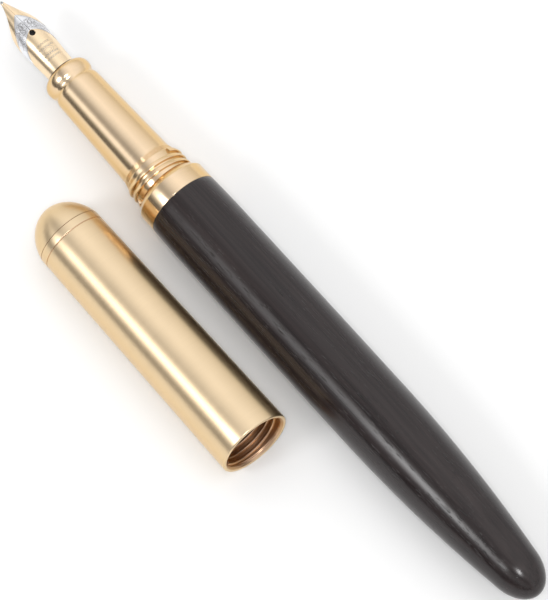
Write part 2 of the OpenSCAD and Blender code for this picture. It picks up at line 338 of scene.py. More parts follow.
def bars_tree():
    """Rounded bars set round the X axis, half sunk in the surface that they stand on."""
    t = Tree("Bars round a turned piece", {
        "Radius": "Float", "Bar Radius": "Float", "Count": "Int", "Start": "Float",
        "Length": "Float", "Material": "Material"})
    end = t.node("ShaderNodeCombineXYZ", [("X", t.given("Length"))])
    line = t.node("GeometryNodeCurvePrimitiveLine", [("End", end.outputs[0])])
    split = t.node("GeometryNodeResampleCurve", [("Curve", line.outputs[0]), ("Count", 24)])
    part = t.node("GeometryNodeSplineParameter").outputs["Factor"]
    nearer = t.maths("MINIMUM", part, t.maths("SUBTRACT", 1.0, part))
    swell = t.maths("POWER", t.maths("MINIMUM", 1.0, t.maths("MULTIPLY", nearer, 12.0)), 0.5)
    path = t.node("GeometryNodeSetCurveRadius", [("Curve", split.outputs[0]), ("Radius", swell)])
    round_ = t.node("GeometryNodeCurvePrimitiveCircle", [
        ("Resolution", 12), ("Radius", t.given("Bar Radius"))])
    bar = t.node("GeometryNodeCurveToMesh", [
        ("Curve", path.outputs[0]), ("Profile Curve", round_.outputs[0]), ("Fill Caps", True)])
    index = t.node("GeometryNodeInputIndex").outputs[0]
    angle = t.maths("DIVIDE", t.maths("MULTIPLY", index, TURN), t.given("Count"))
    out = t.node("ShaderNodeCombineXYZ", [
        ("X", t.given("Start")),
        ("Y", t.maths("MULTIPLY", t.given("Radius"), t.maths("COSINE", angle))),
        ("Z", t.maths("MULTIPLY", t.given("Radius"), t.maths("SINE", angle)))])
    points = t.node("GeometryNodePoints", [
        ("Count", t.given("Count")), ("Position", out.outputs[0])])
    bars = t.node("GeometryNodeInstanceOnPoints", [
        ("Points", points.outputs[0]), ("Instance", bar.outputs[0])])
    t.finish(bars.outputs[0])
    return t


def fins_tree():
    """Half-round fins in a row along X, each a little larger than the last."""
    t = Tree("Fins in a row", {
        "Radius": "Float", "Growth": "Float", "Count": "Int", "Pitch": "Float",
        "Thickness": "Float", "Start": "Float", "Material": "Material"})
    half = t.node("GeometryNodeCurveArc", [
        ("Resolution", 33), ("Radius", t.given("Radius")), ("Start Angle", math.pi / 2),
        ("Sweep Angle", math.pi), ("Connect Center", True)], mode="RADIUS")
    edge = t.node("GeometryNodeFilletCurve", [
        ("Curve", half.outputs[0]), ("Limit Radius", True), ("Count", 3),
        ("Radius", t.maths("MULTIPLY", 0.2, t.given("Radius")))], mode="POLY")
    end = t.node("ShaderNodeCombineXYZ", [("Z", t.given("Thickness"))])
    line = t.node("GeometryNodeCurvePrimitiveLine", [("End", end.outputs[0])])
    fin = t.node("GeometryNodeCurveToMesh", [
        ("Curve", line.outputs[0]), ("Profile Curve", edge.outputs[0]), ("Fill Caps", True)])
    step = t.node("ShaderNodeCombineXYZ", [("X", t.given("Pitch"))])
    first = t.node("ShaderNodeCombineXYZ", [("X", t.given("Start"))])
    row = t.node("GeometryNodeMeshLine", [
        ("Count", t.given("Count")), ("Start Location", first.outputs[0]),
        ("Offset", step.outputs[0])], mode="OFFSET")
    index = t.node("GeometryNodeInputIndex").outputs[0]
    grown = t.maths("ADD", 1.0, t.maths("MULTIPLY", t.given("Growth"), index))
    size = t.node("ShaderNodeCombineXYZ", [("X", grown), ("Y", grown), ("Z", 1.0)])
    fins = t.node("GeometryNodeInstanceOnPoints", [
        ("Points", row.outputs[0]), ("Instance", fin.outputs[0]),
        ("Rotation", (0, math.pi / 2, 0)), ("Scale", size.outputs[0])])
    t.finish(fins.outputs[0])
    return t


def lines_tree():
    """Fine round lines along the curves of the object that carries the tree."""
    t = Tree("Engraved lines", {"Width": "Float", "Material": "Material"})
    across = t.node("GeometryNodeCurvePrimitiveCircle", [
        ("Resolution", 6), ("Radius", t.maths("DIVIDE", t.given("Width"), 2.0))])
    lines = t.node("GeometryNodeCurveToMesh", [
        ("Curve", t.given("Geometry")), ("Profile Curve", across.outputs[0]),
        ("Fill Caps", True)])
    t.finish(lines.outputs[0])
    return t


TREES = {}


def tree(make):
    """The tree that the function makes, made once."""
    if make not in TREES:
        TREES[make] = make()
    return TREES[make]


# ---- Finishes ----

class Finish:
    """A new material with its shader, and short ways to add and link its nodes."""

    def __init__(self, name, colour, roughness, metallic=0.0, **settings):
        self.material = bpy.data.materials.new(name)
        self.material.use_nodes = True
        self.material.diffuse_color = colour
        self.nodes = self.material.node_tree.nodes
        self.shader = self.nodes["Principled BSDF"]
        self.set("Base Color", colour)
        self.set("Roughness", roughness)
        self.set("Metallic", metallic)
        for label, value in settings.items():
            self.set(label.replace("_", " "), value)

    def set(self, label, source):
        """Gives one of the shader's inputs a value or a node's output."""
        if isinstance(source, bpy.types.NodeSocket):
            self.material.node_tree.links.new(source, self.shader.inputs[label])
        else:
            self.shader.inputs[label].default_value = source

    def node(self, kind, links=(), **settings):
        """Adds a node. links holds (input, value or output) pairs."""
        made = self.nodes.new(kind)
        for key, value in settings.items():
            setattr(made, key, value)
        for where, source in links:
            if isinstance(source, bpy.types.NodeSocket):
                self.material.node_tree.links.new(source, made.inputs[where])
            else:
                made.inputs[where].default_value = source
        return made

    def maths(self, operation, *values, clamp=False):
        """A maths node's result."""
        return self.node("ShaderNodeMath", enumerate(values),
                         operation=operation, use_clamp=clamp).outputs[0]

    def place(self, scale, rotation=(0, 0, 0)):
        """Object coordinates, turned and then scaled: patterns per metre along each axis."""
        where = self.node("ShaderNodeTexCoord").outputs["Object"]
        turn = self.node("ShaderNodeMapping", [
            ("Vector", where), ("Rotation", rotation)], vector_type="POINT")
        return self.node("ShaderNodeVectorMath", [
            (0, turn.outputs[0]), (1, scale)], operation="MULTIPLY").outputs[0]

    def noise(self, where, scale=1.0, detail=3.0, roughness=0.5, distortion=0.0):
        """Noise between 0 and 1 over the given coordinates."""
        return self.node("ShaderNodeTexNoise", [
            ("Vector", where), ("Scale", scale), ("Detail", detail),
            ("Roughness", roughness), ("Distortion", distortion)]).outputs[0]

    def ramp(self, factor, *stops):
        """A colour ramp through (position, grey or colour) stops."""
        made = self.node("ShaderNodeValToRGB", [("Fac", factor)])
        points = made.color_ramp.elements
        while len(points) < len(stops):
            points.new(0.5)
        for point, (position, colour) in zip(points, stops):
            point.position = position
            point.color = colour if hasattr(colour, "__len__") else (colour,) * 3 + (1,)
        return made.outputs[0]

    def mixed(self, factor, a, b, blend="MIX"):
        """Two colours mixed."""
        made = self.node("ShaderNodeMix", [
            (0, factor), (6, a), (7, b)], data_type="RGBA", blend_type=blend)
        return made.outputs[2]

    def bump(self, height, strength, depth, below=None):
        """Adds a bump to the shader, over an earlier one. The depth is in metres."""
        links = [("Height", height), ("Strength", strength), ("Distance", depth)]
        if below:
            links.append(("Normal", below))
        made = self.node("ShaderNodeBump", links).outputs[0]
        self.set("Normal", made)
        return made

    def brushed_round(self):
        """Stretches reflections along the axis, across marks that run round it."""
        self.set("Anisotropic Rotation", 0.25)
        self.set("Tangent", self.node(
            "ShaderNodeTangent", direction_type="UV_MAP", uv_map="around").outputs[0])


def shaded(colour, share):
    """The colour made lighter or darker."""
    return tuple(min(1.0, value * share) for value in colour[:3]) + (1.0,)


def ebony_wood():
    """Nearly black wood with fine grain, soft streaks and short open pores."""
    look = bpy.context.scene.pen_barrel
    f = Finish("Ebony wood", look.wood_colour, 0.3, Specular_IOR_Level=0.4)
    streaks = f.noise(f.place((16, 230, 230)), 1.0, 4, 0.55, 0.3)
    figure = f.noise(f.place((40, 1500, 1500)), 1.0, 5, 0.6)
    fine = f.noise(f.place((300, 9000, 9000)), 1.0, 3, 0.6)
    tone = f.ramp(streaks, (0.3, shaded(look.wood_colour, 0.72)),
                  (0.55, look.wood_colour), (0.78, look.streak_colour))
    grained = f.mixed(0.45, tone, f.ramp(
        figure, (0.3, shaded(look.wood_colour, 0.5)), (0.75, shaded(look.streak_colour, 1.1))))
    pores = f.noise(f.place((420, 5200, 5200)), 1.0, 1, 0.4)
    patches = f.noise(f.place((60, 300, 300)), 1.0, 2)
    open_pores = f.maths("MULTIPLY",
                         f.ramp(pores, (0.64, 0.0), (0.72, 1.0)),
                         f.ramp(patches, (0.4, 0.0), (0.62, 1.0)))
    f.set("Base Color", f.mixed(open_pores, grained, shaded(look.wood_colour, 0.3)))
    f.set("Roughness", f.maths("ADD", f.ramp(figure, (0.3, 0.2), (0.75, 0.28)),
                               f.maths("MULTIPLY", open_pores, 0.3), clamp=True))
    grain = f.bump(fine, 0.2, 0.008 * MM)
    below = f.bump(figure, 0.2, 0.012 * MM, grain)
    f.bump(f.maths("SUBTRACT", 1.0, open_pores), 0.8, 0.05 * MM, below)
    return f.material


def turned_brass(name, colour, roughness, mark_depth, anisotropy, cloud=0.06, painted_reflection_share=0.8):
    """Brass with marks that run round its axis, and a painted reflection: its colour turns darker
    and more orange towards the grazing edges.
    """
    f = Finish(name, colour, roughness, 1.0, Anisotropic=anisotropy)
    marks = f.noise(f.place((21000, 90, 90)), 1.0, 3, 0.65)
    coarse = f.noise(f.place((4200, 60, 60)), 1.0, 2, 0.5)
    clouds = f.noise(f.place((160, 160, 160)), 1.0, 3)
    tone = f.mixed(0.5, f.ramp(marks, (0.3, shaded(colour, 0.93)), (0.7, shaded(colour, 1.05))),
                   f.ramp(clouds, (0.3, shaded(colour, 1 - cloud)), (0.7, shaded(colour, 1.03))))
    # Painted reflection: towards the grazing edges the colour is mixed, by the share given, into a
    # darker orange brass that stands for the dim, warm surroundings seen there.
    edge = f.node("ShaderNodeLayerWeight", [("Blend", 0.5)]).outputs["Facing"]
    f.set("Base Color", f.mixed(
        f.ramp(edge, (0.12, 0.0), (0.55, painted_reflection_share)), tone,
        tuple(c * share for c, share in zip(colour, (0.84, 0.71, 0.38))) + (1.0,)))
    f.set("Roughness", f.maths("ADD", f.maths("MULTIPLY", coarse, 0.08),
                               f.maths("MULTIPLY_ADD", marks, 0.1, roughness - 0.09)))
    below = f.bump(coarse, 0.35, mark_depth)
    f.bump(marks, 0.5, mark_depth, below)
    if anisotropy:
        f.brushed_round()
    return f.material


def polished_brass():
    """Polished brass that keeps faint turning marks."""
    return turned_brass("Polished brass", bpy.context.scene.pen_section.brass_colour,
                        0.2, 0.0035 * MM, 0.3)


def satin_brass():
    """Brass brushed round the cap."""
    # The cap's edges take the painted reflection at 0.4 of its full share.
    return turned_brass("Satin brass", bpy.context.scene.pen_cap.brass_colour,
                        0.33, 0.006 * MM, 0.25, painted_reflection_share=0.4)


def bore_brass():
    """The inside of the cap and its thread: rougher brass, in a darker, redder colour that is
    painted shade inside the cap.
    """
    return turned_brass("Bore brass", bpy.context.scene.pen_cap.bore_colour,
                        0.34, 0.01 * MM, 0.0, 0.2)


def liner_brass():
    """Drawn brass tube with marks along it and light tarnish."""
    colour = bpy.context.scene.pen_barrel.liner_colour
    f = Finish("Liner brass", colour, 0.36, 1.0)
    drawn = f.noise(f.place((60, 7000, 7000)), 1.0, 3, 0.6)
    tarnish = f.noise(f.place((130, 130, 130)), 1.0, 5, 0.6)
    f.set("Base Color", f.mixed(0.6, f.ramp(
        tarnish, (0.35, shaded(colour, 0.72)), (0.65, shaded(colour, 1.05))),
        f.ramp(drawn, (0.3, shaded(colour, 0.9)), (0.7, shaded(colour, 1.06)))))
    f.set("Roughness", f.maths("MULTIPLY_ADD", tarnish, 0.25, 0.22))
    f.bump(drawn, 0.4, 0.006 * MM)
    return f.material


def nib_gold():
    """Gold-coloured plating with bare steel shoulders, split along the sheet's own map."""
    look = bpy.context.scene.pen_nib
    f = Finish("Nib gold", look.gold_colour, 0.16, 1.0)
    sheet = f.node("ShaderNodeUVMap", uv_map="sheet").outputs[0]
    parts = f.node("ShaderNodeSeparateXYZ", [("Vector", sheet)])
    station = f.maths("MULTIPLY", parts.outputs[0], SHEET_SPAN)
    across = f.maths("ABSOLUTE", f.maths("MULTIPLY", f.maths(
        "SUBTRACT", parts.outputs[1], 0.5), SHEET_SPAN))

    def boundary(curve):
        return f.maths("MULTIPLY_ADD", f.maths(
            "MULTIPLY_ADD", across, curve[2], curve[1]), across, curve[0])

    front = f.maths("MULTIPLY", f.maths("SUBTRACT", station, boundary(PANEL_FRONT)), 14.0,
                    clamp=True)
    rear = f.maths("MULTIPLY", f.maths("SUBTRACT", boundary(PANEL_REAR), station), 14.0,
                   clamp=True)
    panel = f.maths("MULTIPLY", front, rear)
    polish = f.noise(f.place((300, 2600, 2600)), 1.0, 3, 0.55)
    clouds = f.noise(f.place((420, 420, 420)), 1.0, 3)
    gold = f.ramp(clouds, (0.3, shaded(look.gold_colour, 0.94)),
                  (0.7, shaded(look.gold_colour, 1.05)))
    steel = f.ramp(clouds, (0.3, shaded(look.steel_colour, 0.93)),
                   (0.7, shaded(look.steel_colour, 1.04)))
    f.set("Base Color", f.mixed(panel, gold, steel))
    f.set("Roughness", f.maths("ADD", f.maths("MULTIPLY_ADD", polish, 0.1, 0.2),
                               f.maths("MULTIPLY", panel, 0.1)))
    f.bump(polish, 0.3, 0.002 * MM)
    return f.material


def engraved_line():
    """The grey floor of an engraved line."""
    f = Finish("Engraved line", bpy.context.scene.pen_nib.engraving_colour, 0.38, 1.0)
    worn = f.noise(f.place((3000, 3000, 3000)), 1.0, 2)
    colour = bpy.context.scene.pen_nib.engraving_colour
    f.set("Base Color", f.ramp(worn, (0.3, shaded(colour, 0.8)), (0.7, shaded(colour, 1.2))))
    f.set("Roughness", f.maths("MULTIPLY_ADD", worn, 0.2, 0.28))
    return f.material


def nib_point():
    """The hard bright pellet on the nib's point."""
    f = Finish("Nib point", (0.45, 0.44, 0.43, 1), 0.2, 1.0)
    ground = f.noise(f.place((5200, 5200, 5200)), 1.0, 3)
    f.set("Roughness", f.maths("MULTIPLY_ADD", ground, 0.2, 0.1))
    f.set("Base Color", f.ramp(ground, (0.3, 0.38), (0.7, 0.5)))
    f.bump(ground, 0.2, 0.002 * MM)
    return f.material


def moulded(name, colour, roughness, texture_depth, **settings):
    """Moulded plastic or rubber with a faint skin texture."""
    f = Finish(name, colour, roughness, 0.0, **settings)
    skin = f.noise(f.place((2600, 2600, 2600)), 1.0, 3, 0.6)
    flow = f.noise(f.place((110, 240, 240)), 1.0, 3)
    f.set("Base Color", f.ramp(flow, (0.3, shaded(colour, 0.85)), (0.7, shaded(colour, 1.2))))
    f.set("Roughness", f.maths("ADD", f.maths("MULTIPLY", skin, 0.16),
                               f.maths("MULTIPLY_ADD", flow, 0.1, roughness - 0.13)))
    f.bump(skin, 0.3, texture_depth)
    return f.material


def feed_plastic():
    """Matte black plastic, sanded so that ink wets it."""
    return moulded("Feed plastic", (0.016, 0.016, 0.018, 1), 0.55, 0.012 * MM)


def black_plastic():
    """Glossy black plastic."""
    return moulded("Black plastic", (0.014, 0.014, 0.016, 1), 0.22, 0.003 * MM)


def liner_plastic():
    """Dark plastic of the inner cap."""
    return moulded("Liner plastic", (0.03, 0.028, 0.028, 1), 0.42, 0.006 * MM)


def black_rubber():
    """Black rubber of the sealing ring."""
    return moulded("Black rubber", (0.018, 0.018, 0.018, 1), 0.5, 0.006 * MM)


def seal_silicone():
    """Milky grey rubber of the piston's seal."""
    return moulded("Seal silicone", (0.5, 0.52, 0.54, 1), 0.38, 0.004 * MM,
                   Subsurface_Weight=0.4, Subsurface_Scale=0.4 * MM)


def clear_plastic():
    """Clear plastic with a slight grey tint and faint flow lines."""
    f = Finish("Clear plastic", (0.93, 0.96, 0.97, 1), 0.04, 0.0,
               Transmission_Weight=1.0, IOR=1.49)
    flow = f.noise(f.place((90, 700, 700)), 1.0, 3)
    f.set("Roughness", f.maths("MULTIPLY_ADD", flow, 0.05, 0.015))
    f.bump(flow, 0.15, 0.004 * MM)
    return f.material


def nickel_sleeve():
    """Bright nickel plating over a rolled and knurled piece."""
    f = Finish("Nickel sleeve", (0.68, 0.66, 0.62, 1), 0.16, 1.0, Anisotropic=0.3)
    rolled = f.noise(f.place((9000, 80, 80)), 1.0, 2)
    clouds = f.noise(f.place((260, 260, 260)), 1.0, 3)
    f.set("Base Color", f.ramp(clouds, (0.3, (0.62, 0.6, 0.56, 1)), (0.7, (0.72, 0.7, 0.67, 1))))
    f.set("Roughness", f.maths("MULTIPLY_ADD", rolled, 0.14, 0.08))
    f.bump(rolled, 0.3, 0.002 * MM)
    return f.material


FINISHES = {}


def finish(make):
    """The material that the function makes, made once."""
    if make not in FINISHES:
        FINISHES[make] = make()
    return FINISHES[make]


def painted(piece, make):
    """Gives the whole piece one finish."""
    piece.data.materials.clear()
    piece.data.materials.append(finish(make))
    return piece


# ---- Settings ----

def length(name, millimetres, description):
    """A size that the user may change."""
    return FloatProperty(name=name, description=description, default=millimetres * MM,
                         min=0.0, unit="LENGTH", precision=5)


def colour(name, rgb, description):
    """A colour that the user may change."""
    return FloatVectorProperty(name=name, description=description, default=(*rgb, 1.0),
                               size=4, min=0.0, max=1.0, subtype="COLOR")


class PenBarrelSettings(bpy.types.PropertyGroup):
    """The wooden barrel, its drawn liner and the threaded bush whose flange is the ring."""
    ring_station: length("Ring station", 45.8, "Where the ring starts behind the section")
    wood_station: length("Wood station", 50.4, "Where the wood starts behind the ring")
    ring_diameter: length("Ring diameter", 13.78, "Outside of the ring and of the wood's front")
    ring_chamfer: length("Ring chamfer", 1.35, "Length of the ring's sloping front")
    shoulder_diameter: length("Shoulder diameter", 14.14, "Wood 9.3 mm behind its front")
    belly_diameter: length("Belly diameter", 14.38, "Largest diameter of the wood")
    pen_length: length("Pen length", 147.5, "From the nib's point to the barrel's end")
    wood_colour: colour("Wood", (0.014, 0.0092, 0.0095), "Colour of the oiled wood")
    streak_colour: colour("Streaks", (0.04, 0.029, 0.028), "Colour of the lighter grain")
    liner_colour: colour("Liner", (0.62, 0.44, 0.2), "Colour of the drawn brass liner")


class PenSectionSettings(bpy.types.PropertyGroup):
    """The turned brass section with its cap thread and its barrel thread."""
    lip_station: length("Lip station", 17.35, "Where the section starts behind the nib")
    lip_diameter: length("Lip diameter", 9.1, "Outside of the rounded lip")
    cove_diameter: length("Cove diameter", 8.34, "Bottom of the cove behind the lip")
    front_diameter: length("Front diameter", 8.96, "Front of the straight taper")
    rear_diameter: length("Rear diameter", 10.05, "Rear of the straight taper")
    thread_diameter: length("Thread diameter", 11.68, "Over the cap thread's ridges")
    thread_pitch: length("Thread pitch", 1.27, "From ridge to ridge of the cap thread")
    thread_starts: IntProperty(name="Thread starts", default=2, min=1, max=4,
                               description="How many helices the cap thread has")
    tenon_diameter: length("Tenon diameter", 9.5, "Over the barrel thread")
    brass_colour: colour("Brass", (0.84, 0.645, 0.44), "Colour of the polished brass")


class PenNibSettings(bpy.types.PropertyGroup):
    """The nib, its point, the feed under it and the housing that holds both."""
    sheet: length("Sheet thickness", 0.35, "Thickness of the nib's sheet")
    hole_station: length("Hole station", 9.0, "Middle of the breather hole")
    hole_diameter: length("Hole diameter", 1.15, "Diameter of the breather hole")
    slit_width: length("Slit width", 0.13, "Width of the slit at the breather hole")
    line_width: length("Engraved line", 0.07, "Width of the engraved lines")
    fins: IntProperty(name="Fins", default=9, min=1, max=14,
                      description="How many fins stand under the feed")
    gold_colour: colour("Plating", (0.93, 0.735, 0.5), "Colour of the gold plating")
    steel_colour: colour("Steel", (0.85, 0.86, 0.89), "Colour of the bare shoulders")
    engraving_colour: colour("Engraving", (0.24, 0.23, 0.23), "Colour of the engraved lines")


class PenConverterSettings(bpy.types.PropertyGroup):
    """The piston converter inside the barrel."""
    front_station: length("Front station", 36.6, "Where the converter starts")
    tube_diameter: length("Tube diameter", 7.4, "Outside of the clear tube")
    tube_length: length("Tube length", 43, "Length of the clear tube")
    converter_length: length("Converter length", 72, "From the tube's front to the knob's end")
    ribs: IntProperty(name="Ribs", default=26, min=8, max=60,
                      description="How many ribs the knob has")


class PenCapSettings(bpy.types.PropertyGroup):
    """The tapered cap, its dome and the inner cap."""
    mouth_diameter: length("Mouth diameter", 13.96, "Outside of the cap's mouth")
    dome_diameter: length("Dome diameter", 12.72, "Outside of the dome's base")
    tube_length: length("Tube length", 51.7, "From the mouth to the dome")
    dome_length: length("Dome length", 6.3, "Height of the dome")
    bore_diameter: length("Bore diameter", 11.1, "Inside of the cap")
    brass_colour: colour("Brass", (0.81, 0.635, 0.42), "Colour of the satin brass")
    # The bore's colour is darker and redder than the cap's brass: painted shade inside the cap.
    bore_colour: colour("Bore", (0.62, 0.41, 0.27), "Colour of the cut brass inside")


class PenStageSettings(bpy.types.PropertyGroup):
    """The floor, the light and the camera."""
    floor_colour: colour("Floor", (0.86, 0.86, 0.86), "Colour of the floor")
    light_strength: FloatProperty(name="Light", default=1.0, min=0.0,
                                  description="Strength of all the light")
    tail_light: FloatProperty(name="Tail light", default=1.0, min=0.0,
                              description="Strength of the light from the pen's tail")
    fill_light: FloatProperty(name="Fill light", default=1.0, min=0.0,
                              description="Strength of the light from beside the camera")
    tilt_to_tail: FloatProperty(name="Tilt to tail", default=math.radians(19.07),
                                subtype="ANGLE", description="Camera's lean towards +X")
    tilt_to_cap: FloatProperty(name="Tilt to cap", default=math.radians(13.5),
                               subtype="ANGLE", description="Camera's lean towards -Y")
    turn: FloatProperty(name="Turn", default=math.radians(47.61), subtype="ANGLE",
                        description="Slope of the pen across the picture")
    distance: FloatProperty(name="Distance", default=4.0, min=0.1, unit="LENGTH",
                            description="From the camera to the pen")
    picture_height: FloatProperty(name="Picture height", default=0.104783, unit="LENGTH",
                                  precision=5, description="What the picture's height spans")


# ---- Operators ----

def in_millimetres(group):
    """The lengths of a settings group, in millimetres."""
    return SimpleNamespace(**{
        key: getattr(group, key) / MM for key, item in group.bl_rna.properties.items()
        if item.type == "FLOAT" and item.unit == "LENGTH"})


def thread(name, place, make, radius, height, foot, crest, pitch, starts, start, length,
           fade=0.3, turn=0.0):
    """Helical ridges on a turned piece, in millimetres."""
    return tree(thread_tree).bake(name, {
        "Radius": radius * MM, "Height": height * MM, "Foot": foot * MM, "Crest": crest * MM,
        "Pitch": pitch * MM, "Starts": starts, "Start": start * MM, "Length": length * MM,
        "Fade": fade, "Turn": turn, "Material": finish(make)}, place)


class PEN_OT_barrel(bpy.types.Operator):
    """Turns the wooden barrel with its belly, its slim tail and its bore"""
    bl_idname = "pen.barrel"
    bl_label = "Wooden barrel"

    def execute(self, context):
        s = in_millimetres(context.scene.pen_barrel)
        front, end = s.wood_station, s.pen_length
        shoulder, belly, tail = front + 9.3, 102.7, end - 6.2
        ring_r, shoulder_r, belly_r = (
            d / 2 for d in (s.ring_diameter, s.shoulder_diameter, s.belly_diameter))
        nose_mid, nose_l, nose_r = end - 7.4, 7.4, 4.75

        def radius(x):
            if x < shoulder:
                return shoulder_r - (shoulder_r - ring_r) * ((shoulder - x) / (shoulder - front))**2
            if x < belly:
                return belly_r - (belly_r - shoulder_r) * ((belly - x) / (belly - shoulder))**2
            return belly_r - 0.0017 * (x - belly)**2

        outside = [(x, radius(x)) for x in steps_between(front + 0.1, tail, 1.0)[:-1]]
        outside += [(nose_mid + nose_l * math.sin(a), nose_r * math.cos(a))
                    for a in steps_between(math.radians(9.5), math.pi / 2, 0.06)]
        outside[-1] = (end, 0.0)
        bore, socket, depth = 4.42, 5.52, 121.4
        inside = eased([(depth, 0.0), (depth, bore), (58.8, bore), (58.8, socket),
                        (front, socket), (front, radius(front) - 0.06), outside[0]],
                       0.12, closed=False)
        piece = turned("wooden_barrel", inside + outside[1:], PEN, 160)
        settled(painted(piece, ebony_wood), "barrel", "ebony_wood", "barrel")
        return {"FINISHED"}


class PEN_OT_barrel_fittings(bpy.types.Operator):
    """Turns the ring with its threaded bush, and draws the barrel's liner tube"""
    bl_idname = "pen.barrel_fittings"
    bl_label = "Ring, bush and liner"

    def execute(self, context):
        s = in_millimetres(context.scene.pen_barrel)
        ring, wood, r = s.ring_station, s.wood_station, s.ring_diameter / 2
        slope = ring + s.ring_chamfer
        bush = eased([
            (ring, 4.97), (ring, 5.76), (slope, r), (wood, r), (wood, 5.5), (58.7, 5.5),
            (58.7, 4.42), (56.2, 4.42), (56.2, 4.1), (54.5, 4.1), (54.5, 5.1),
            (ring + 1.7, 5.1), (ring + 1.3, 4.97)], 0.09)
        core = painted(turned("ring_and_bush", bush, PEN), polished_brass)
        inside = thread("bush_thread", PEN, polished_brass, 5.1, 0.29, 0.14, 0.72,
                        0.75, 1, ring + 1.8, 6.4)
        settled(joined("ring_and_bush", [core, inside]), "barrel", "polished_brass",
                "barrel_bush")
        tube = eased([(56.3, 4.1), (56.3, 4.4), (121.2, 4.4), (121.2, 4.1)], 0.1)
        settled(painted(turned("barrel_liner_tube", tube, PEN), liner_brass),
                "barrel", "liner_brass", "barrel_liner")
        return {"FINISHED"}


class PEN_OT_section(bpy.types.Operator):
    """Turns the brass section and cuts its cap thread and its barrel thread"""
    bl_idname = "pen.section"
    bl_label = "Grip section"

    def execute(self, context):
        s = in_millimetres(context.scene.pen_section)
        starts = context.scene.pen_section.thread_starts
        ring = context.scene.pen_barrel.ring_station / MM
        lip_r, lip_end = s.lip_diameter / 2, s.lip_station + 1.45
        cove, grip, run, run_l = lip_end + 1.65, lip_end + 3.0, ring - 5.34, 1.3
        front_r, rear_r = s.front_diameter / 2, s.rear_diameter / 2
        root = s.thread_diameter / 2 - 0.42
        tenon_r, tenon_end, housing_end = s.tenon_diameter / 2, ring + 8.4, s.lip_station + 19.15
        bore, seat = 3.3, 3.9
        lip = [(lip_end - 1.45 * math.cos(a), lip_r - 1.15 + 1.15 * math.sin(a))
               for a in steps_between(0, math.pi / 2, 0.12)]
        cove_r = s.cove_diameter / 2
        hollow = [(x, smooth_value([
            (lip_end + 0.25, lip_r), (lip_end + 0.75, lip_r - 0.08), (cove - 0.1, cove_r),
            (cove + 0.12, cove_r), (cove + 0.75, front_r - 0.09), (grip, front_r)], x))
            for x in steps_between(lip_end + 0.25, grip, 0.09)]
        cuts = []
        for part in (0.2, 0.45, 0.7):
            x, r = run + part * run_l, rear_r + (root - rear_r) * part
            cuts += [(x, r), (x + 0.06, r - 0.09), (x + 0.13, r - 0.09), (x + 0.18, r + 0.03)]
        outline = [(s.lip_station + 0.02, bore)] + lip + hollow + [(run, rear_r)] + cuts + [
            (run + run_l, root), (ring - 0.05, root),
            (ring - 0.05, tenon_r), (ring + 0.32, tenon_r), (ring + 0.32, 4.3),
            (ring + 0.98, 4.3), (ring + 0.98, tenon_r), (ring + 1.5, tenon_r),
            (ring + 1.75, tenon_r - 0.3), (tenon_end, tenon_r - 0.3), (tenon_end, seat),
            (housing_end, seat), (housing_end, bore)]
        body = painted(turned("section", eased(outline, 0.07), PEN, 160), polished_brass)
        cap_thread = thread(
            "cap_thread", PEN, polished_brass, root, 0.42, s.thread_pitch - 0.2, 0.5,
            s.thread_pitch, starts, ring - 3.53, 2.95, 0.6, -0.66)
        barrel_thread = thread(
            "barrel_thread", PEN, polished_brass, tenon_r - 0.3, 0.3, 0.7, 0.14,
            0.75, 1, ring + 1.75, 6.4)
        settled(joined("brass_section", [body, cap_thread, barrel_thread]),
                "section", "polished_brass", "grip_section")
        ring_wire = [(ring + 0.65 - 0.3 * math.cos(a), 4.62 + 0.3 * math.sin(a))
                     for a in steps_between(0, TURN, TURN / 24)[:-1]]
        settled(painted(turned("section_seal_ring", ring_wire, PEN), black_rubber),
                "seal", "black_rubber", "section_seal")
        return {"FINISHED"}


# The nib's sheet in millimetres: the radius that its crest follows, and how far round it reaches
NIB_CREST = [(0.4, 1.36), (3.2, 2.1), (5.5, 2.75), (7, 3.04), (9.2, 3.19), (12, 3.05),
             (16.9, 2.82), (29.5, 2.82)]
NIB_REACH = [(0.4, 12), (2.1, 25.5), (3.2, 34.8), (4.4, 45.8), (5.6, 58), (6.8, 71),
             (8, 81), (9.6, 87.5), (11, 88.5), (29.5, 88.5)]
NIB_END = 29.4
SHEET_SPAN = 32.0
# Where the bare steel starts and ends: station = a + b * across + c * across squared
PANEL_FRONT = (4.0, 1.12, 0.02)
PANEL_REAR = (8.3, 0.35, 0.15)


def on_sheet(station, across, lift=0.0):
    """The point of the nib's surface that is so far round it from the crest, in millimetres."""
    r = smooth_value(NIB_CREST, station)
    a = across / r
    return (station * MM, (r + lift) * math.sin(a) * MM, (r + lift) * math.cos(a) * MM)


def reach(station):
    """How far the sheet reaches round from the crest, in millimetres."""
    return math.radians(smooth_value(NIB_REACH, station)) * smooth_value(NIB_CREST, station)


